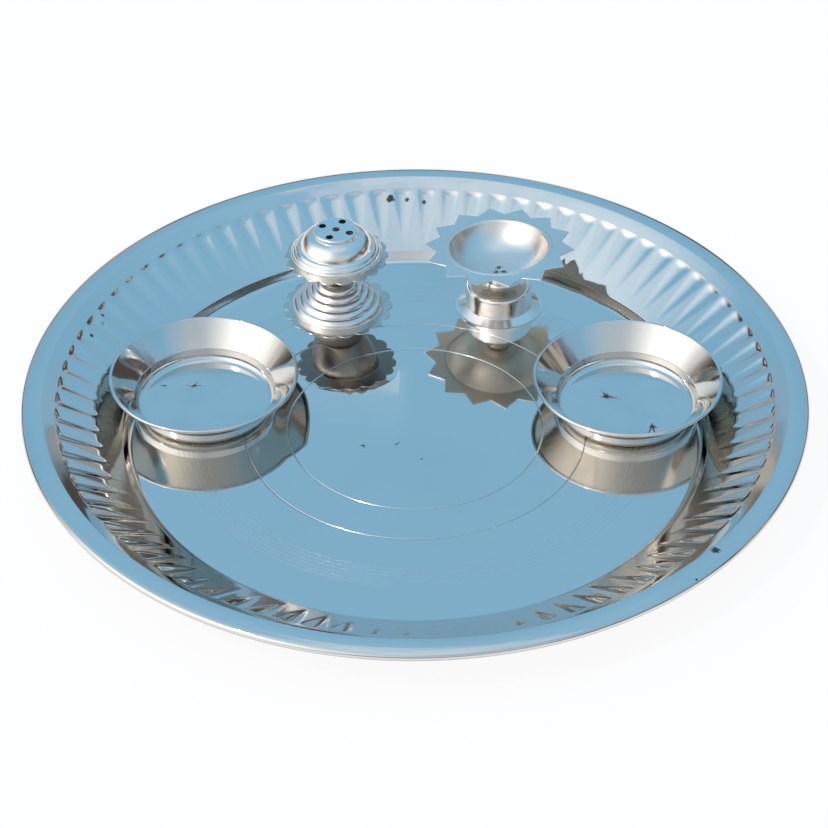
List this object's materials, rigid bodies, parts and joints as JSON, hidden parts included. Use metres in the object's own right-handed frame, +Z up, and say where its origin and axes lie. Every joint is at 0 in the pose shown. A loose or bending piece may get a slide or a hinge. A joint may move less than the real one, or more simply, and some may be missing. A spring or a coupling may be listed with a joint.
{
  "type": "puja thali",
  "caption": "Round fluted steel offering tray with two shallow flared bowls, a domed incense stick stand on scalloped flanges and an oil lamp with a star-edged dish.",
  "frame": {"origin": "middle of the tray's underside, on the surface that it rests on", "axes": "+Z up out of the tray; -Y towards the viewer of the picture; +X to the viewer's right, towards the right bowl"},
  "size_m": [0.305, 0.305, 0.0532],
  "materials": {
    "tray_steel": "mirror polished stainless steel with fine spin marks",
    "bowl_steel": "mirror polished stainless steel with spun rings and weld dimples",
    "stand_cup_steel": "polished stainless steel, lightly worn",
    "stand_dome_steel": "polished stainless steel, lightly worn",
    "pedestal_steel": "polished stainless steel, lightly worn",
    "dish_steel": "polished stainless steel, lightly worn"
  },
  "bodies": {
    "tray": {"tray": "tray_steel"},
    "bowl_left": {"bowl_left": "bowl_steel"},
    "bowl_right": {"bowl_right": "bowl_steel"},
    "incense_stand": {"incense_foot_cup": "stand_cup_steel", "incense_lower_dome": "stand_dome_steel", "incense_neck_cup": "stand_cup_steel", "incense_top_dome": "stand_dome_steel"},
    "oil_lamp": {"lamp_pedestal": "pedestal_steel", "lamp_star_dish": "dish_steel"}
  },
  "joints": [
    {"name": "bowl_left_lift", "type": "slide", "parent": "tray", "child": "bowl_left", "axis": [0, 0, 1], "range_m": [0, 0.08]},
    {"name": "bowl_right_lift", "type": "slide", "parent": "tray", "child": "bowl_right", "axis": [0, 0, 1], "range_m": [0, 0.08]},
    {"name": "incense_stand_lift", "type": "slide", "parent": "tray", "child": "incense_stand", "axis": [0, 0, 1], "range_m": [0, 0.08]},
    {"name": "oil_lamp_lift", "type": "slide", "parent": "tray", "child": "oil_lamp", "axis": [0, 0, 1], "range_m": [0, 0.08]}
  ]
}
